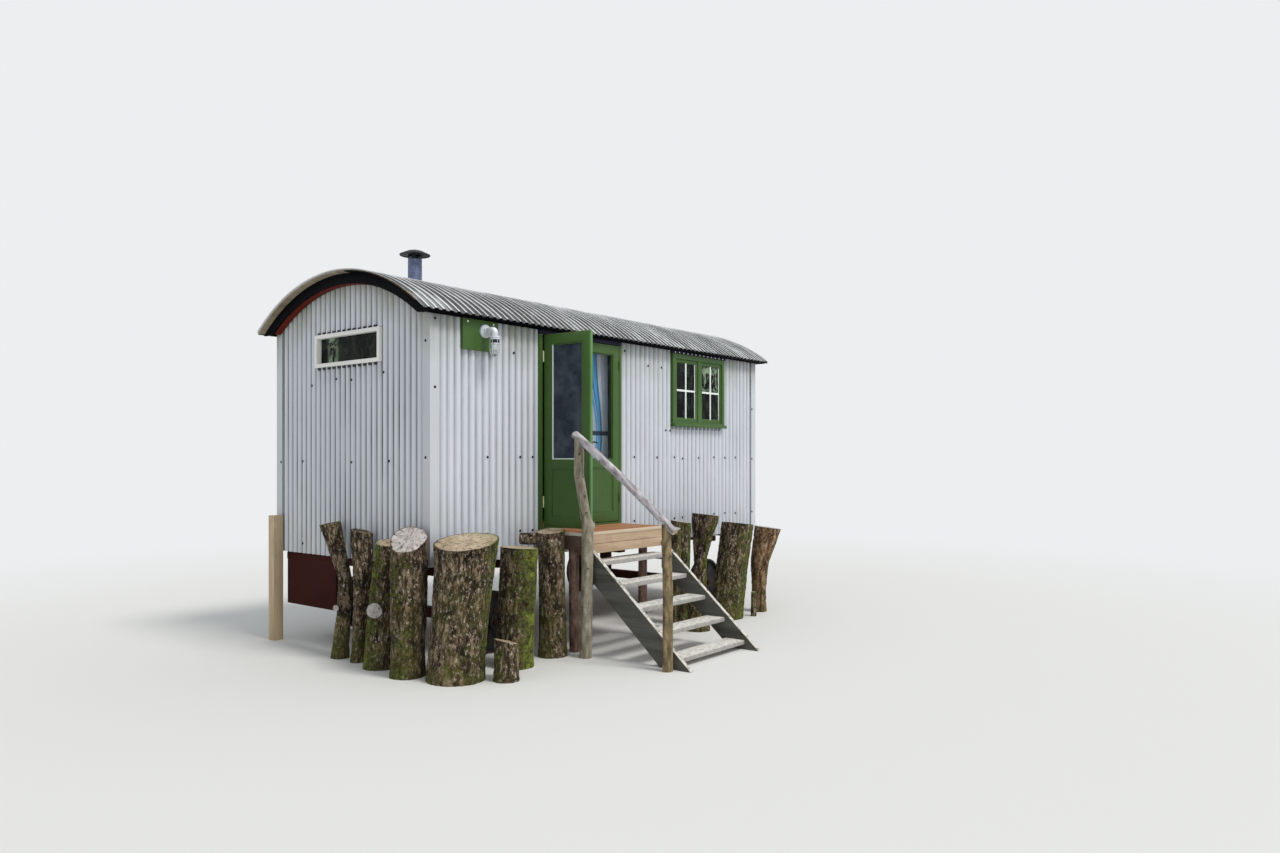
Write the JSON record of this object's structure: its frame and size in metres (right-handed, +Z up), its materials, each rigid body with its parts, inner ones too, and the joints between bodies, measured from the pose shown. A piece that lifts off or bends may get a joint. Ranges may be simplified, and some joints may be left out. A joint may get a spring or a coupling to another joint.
{
  "type": "shepherds hut",
  "caption": "Shepherds hut with corrugated walls, curved corrugated roof, double doors, stair with pole handrail and log stumps round its wheels.",
  "frame": {"origin": "on the ground, under the middle of the whole footprint, which takes in the stair, the logs and the roof edges", "axes": "+X along the door wall to the right as seen from outside, +Y from the door wall towards the back wall, +Z up"},
  "size_m": [5.4365, 3.9976, 3.782],
  "materials": {
    "floor_wood": "varnished boards",
    "raw_pine": "rough sawn, unpainted",
    "lining_wood": "plain matched lining",
    "painted_sheet": "pale grey paint, slightly glossy",
    "roof_steel": "weathered galvanised grey",
    "navy_paint": "dark blue-black paint",
    "red_paint": "dull red oxide paint",
    "green_paint": "satin paint",
    "white_paint": "satin paint",
    "pane_glass": "clear",
    "hinge_brass": "dull",
    "curtain_cloth": "woven, striped",
    "pole_iron": "matt",
    "flue_steel": "dull blue-grey",
    "cap_steel": "matt black",
    "galvanised_lamp": "dull galvanised",
    "wheel_iron": "matt black",
    "landing_wood": "warm brown boards",
    "bark": "rough bark with moss",
    "weathered_wood": "dark grey weathered",
    "tread_wood": "pale grey worn boards",
    "pole_bark": "silver bark with knots"
  },
  "bodies": {
    "hut": {"floor_boards": "floor_wood", "floor_joists": "raw_pine", "front_wall_left": "lining_wood", "front_wall_right": "lining_wood", "front_wall_over_door": "lining_wood", "front_wall_under_door": "lining_wood", "back_wall": "lining_wood", "left_end_wall": "lining_wood", "right_end_wall": "lining_wood", "front_cladding": "painted_sheet", "back_cladding": "painted_sheet", "left_end_cladding": "painted_sheet", "right_end_cladding": "painted_sheet", "corner_flashings": "painted_sheet", "roof_deck": "lining_wood", "roof_sheet": "roof_steel", "bargeboards": "navy_paint", "gable_soffits": "red_paint", "eaves_boards": "navy_paint", "door_frame": "green_paint", "door_headers": "navy_paint", "front_window_frame": "green_paint", "front_window_sashes": "green_paint", "end_window_frames": "white_paint", "window_glass": "pane_glass", "door_curtain": "curtain_cloth", "curtain_pole": "pole_iron", "flue_pipe": "flue_steel", "flue_cap": "cap_steel", "lamp_board": "green_paint", "wall_lamp": "galvanised_lamp", "chassis_rails": "red_paint", "chassis_bearers": "red_paint", "axles": "red_paint", "axle_blocks": "red_paint", "wheels": "wheel_iron", "end_skirt_board": "red_paint", "rear_corner_post": "raw_pine", "landing_boards": "landing_wood", "landing_beams": "raw_pine", "landing_posts": "bark", "stair_strings": "weathered_wood", "stair_treads": "tread_wood", "handrail_posts": "pole_bark", "pole_handrail": "pole_bark", "left_logs": "bark", "front_logs": "bark", "right_logs": "bark"},
    "left_door": {"left_door_leaf": "green_paint", "left_door_glass": "pane_glass", "left_door_hinges": "hinge_brass"},
    "right_door": {"right_door_leaf": "green_paint", "right_door_glass": "pane_glass", "right_door_hinges": "hinge_brass"}
  },
  "joints": [
    {"name": "left_door_hinge", "type": "hinge", "parent": "hut", "child": "left_door", "pos_m": [-1.1335, -0.39323, 1.95], "axis": [0, 0, 1], "range_deg": [-5, 88]},
    {"name": "right_door_hinge", "type": "hinge", "parent": "hut", "child": "right_door", "pos_m": [-0.0625, -0.39323, 1.95], "axis": [0, 0, 1], "range_deg": [0, 95]}
  ]
}
